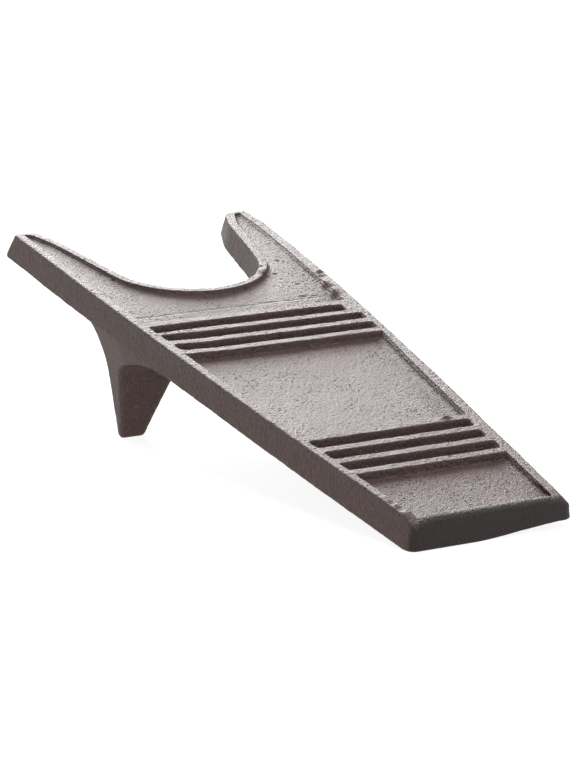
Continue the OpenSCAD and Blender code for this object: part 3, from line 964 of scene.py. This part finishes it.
def painted_iron():
    """Thin dark brown paint on sand-cast iron: mottled colour, pores that stay dull with painted
    shade in them, light specks painted as glints on the grain, painted shade on the toe face, and a
    bump from coarse and fine sand grain. Pores and a painted sheen are kept to the upper side, by
    depth below the rim."""
    material = bpy.data.materials.new("painted_iron")
    material.use_nodes = True
    tree = material.node_tree
    tree.nodes.clear()
    Value.tree = tree
    place = Value.node("ShaderNodeTexCoord", output=OBJECT_COORDINATES)

    def noise(size, detail=2.0, rough=0.5, at=place):
        return Value.node(
            "ShaderNodeTexNoise", {"noise_dimensions": "3D"},
            {"Vector": at, "Scale": 1 / (size * METRES), "Detail": detail, "Roughness": rough},
        )

    def ramp(factor, *stops):
        return Value.node("ShaderNodeValToRGB", {"stops": stops}, {"Fac": factor})

    def blend(factor, first, second):
        return Value.node(
            "ShaderNodeMix", {"data_type": "RGBA"},
            {MIX_FACTOR: factor, MIX_FIRST: first, MIX_SECOND: second}, MIX_COLOUR,
        )

    down = Value.node(
        "ShaderNodeVectorMath", {"operation": "DOT_PRODUCT"},
        {0: place, 1: (0, sin(TILT), -cos(TILT))}, SECOND,
    )
    depth = down * (1 / METRES) + (LIFT * cos(TILT) + BACK_REACH / 2 * sin(TILT))
    upward = ramp(depth * 0.1, (0.33, 1.0), (0.45, 0.0))
    toeward = Value.node("ShaderNodeSeparateXYZ", {}, {0: place}, SECOND) * -7
    toe_face = ramp(toeward, (0.978, 0.0), (0.992, 1.0))
    upright = Value.node(
        "ShaderNodeMapping", {}, {"Vector": place, "Scale": (1, 1, UPRIGHT_STRETCH)}
    )
    mottle = noise(MOTTLE_SIZE, 3)
    grain = noise(GRAIN_SIZE, 2, 0.6)
    fine = noise(FINE_SIZE, 2, 0.6, upright)
    cells = Value.node(
        "ShaderNodeTexVoronoi", {}, {"Vector": place, "Scale": 1 / (PORE_SPACING * METRES)}
    )
    pitted = ramp(noise(PATCH_SIZE, 3), (0.42, 0.12), (0.62, 1.0))
    # Pores: real pits in the bump and roughness, with painted shade in their colour, kept to the
    # upper side
    pore_and_shade = ramp(cells, (0.14, 1.0), (0.3, 0.0)) * pitted * upward * (1 - toe_face)
    # Light specks painted as glints on the grain
    glint = ramp(noise(GLINT_SIZE, 1, 0.5, upright), (0.6, 0.0), (0.72, 1.0))

    tone = (mottle * 0.5 + grain * 0.5).clamp(0, 1)
    colour = ramp(tone, (0.3, DARK_PAINT), (0.7, LIGHT_PAINT))
    # Painted shade in the pores
    colour = blend(pore_and_shade * 0.7, colour, PORE_SHADE_COLOUR)
    # Painted glints on the grain
    colour = blend(glint * 0.3, colour, GLINT_COLOUR)
    # Painted sheen on the upper side
    colour = blend(upward * 0.35, colour, UPPER_SHEEN_COLOUR)
    # Painted shade that darkens the toe face
    colour = blend(toe_face * 0.9, colour, TOE_FACE_SHADE_COLOUR)
    height = grain * 0.6 + fine * 0.4 - pore_and_shade * 0.5
    bump = Value.node(
        "ShaderNodeBump", {},
        {"Height": height, "Strength": 1.0, "Distance": BUMP_HEIGHT * METRES},
    )
    rough = (0.37 + mottle * 0.1 + fine * 0.12 + pore_and_shade * 0.45).clamp(0.3, 0.95)
    shader = Value.node(
        "ShaderNodeBsdfPrincipled", {},
        {"Base Color": colour, "Roughness": rough, "Normal": bump, "Specular IOR Level": 0.36},
    )
    out = tree.nodes.new("ShaderNodeOutputMaterial")
    tree.links.new(out.inputs["Surface"], shader.socket)
    return material


upper_treads = treads(UPPER_BAND_Y, UPPER_ENDS, UPPER_BOW)
lower_treads = treads(LOWER_BAND_Y, LOWER_ENDS, 0.0)
pieces = [
    skin("cast_rim", rim_sections(), True, "rim"),
    skin("cast_deck", deck_slab(), False, "deck"),
    skin("cast_fork", fork_slab(), False, "left_horn", "right_horn"),
    skin("cast_upper_treads", upper_treads, False, "upper_treads"),
    skin("cast_lower_treads", lower_treads, False, "lower_treads"),
    skin("cast_left_leg", leg_rings(-1), False, "left_leg"),
    skin("cast_right_leg", leg_rings(1), False, "right_leg"),
]
iron = painted_iron()
for piece in pieces:
    piece.data.materials.append(iron)

FLOOR_REACH = 6.0
FLOOR_GLOW = 0.9


def pale_floor():
    """A plain square floor that glows evenly, so that it stays white and casts little colour."""
    signs = ((-1, -1), (1, -1), (1, 1), (-1, 1))
    corners = [(x * FLOOR_REACH, y * FLOOR_REACH, 0) for x, y in signs]
    mesh = bpy.data.meshes.new("floor")
    mesh.from_pydata(corners, [], [(0, 1, 2, 3)])
    material = bpy.data.materials.new("pale_floor")
    material.use_nodes = True
    shader = material.node_tree.nodes["Principled BSDF"]
    shader.inputs["Base Color"].default_value = (0.1, 0.1, 0.1, 1)
    shader.inputs["Roughness"].default_value = 0.9
    shader.inputs["Emission Color"].default_value = (1, 1, 1, 1)
    shader.inputs["Emission Strength"].default_value = FLOOR_GLOW
    mesh.materials.append(material)
    obj = bpy.data.objects.new("floor", mesh)
    bpy.context.scene.collection.objects.link(obj)


pale_floor()

CAMERA_PLACE = Vector((-0.43289, -0.88382, 0.24015))
CAMERA_AIM = Vector((-0.030911, -0.063399, 0.04))
CAMERA_ROLL = radians(-1.674)
CAMERA_LENS = 131.25
LIGHT_AIM = Vector((0, 0, 0.03))


def aimed(place, aim, roll=0.0):
    """A frame at `place` that looks at `aim` down its own -z, then turns by `roll` about that
    line."""
    turn = (aim - place).to_track_quat("-Z", "Y").to_matrix().to_4x4()
    return Matrix.Translation(place) @ turn @ Matrix.Rotation(roll, 4, "Z")


camera_data = bpy.data.cameras.new("camera")
camera_data.lens = CAMERA_LENS
camera = bpy.data.objects.new("camera", camera_data)
camera.matrix_world = aimed(CAMERA_PLACE, CAMERA_AIM, CAMERA_ROLL)
bpy.context.scene.collection.objects.link(camera)
bpy.context.scene.camera = camera


def softbox(name, toward, distance, size, power):
    """A square soft light in a direction from the jack, aimed at its middle."""
    light = bpy.data.lights.new(name, "AREA")
    light.size = size
    light.energy = power
    obj = bpy.data.objects.new(name, light)
    obj.matrix_world = aimed(LIGHT_AIM + Vector(toward).normalized() * distance, LIGHT_AIM)
    bpy.context.scene.collection.objects.link(obj)


softbox("back_softbox", (0.2, 0.82, 0.53), distance=1.9, size=1.4, power=66)
softbox("top_softbox", (0.1, 0.35, 1.0), distance=1.8, size=1.4, power=16)
softbox("front_softbox", (0.25, -0.8, 1.1), distance=1.8, size=1.2, power=19)
softbox("left_softbox", (-1.0, 0.25, 0.35), distance=1.6, size=1.0, power=1.5)

world = bpy.data.worlds.new("studio")
world.use_nodes = True
background = world.node_tree.nodes["Background"]
background.inputs["Color"].default_value = (1, 1, 1, 1)
background.inputs["Strength"].default_value = 0.65
bpy.context.scene.world = world
bpy.context.scene.view_settings.view_transform = "Standard"
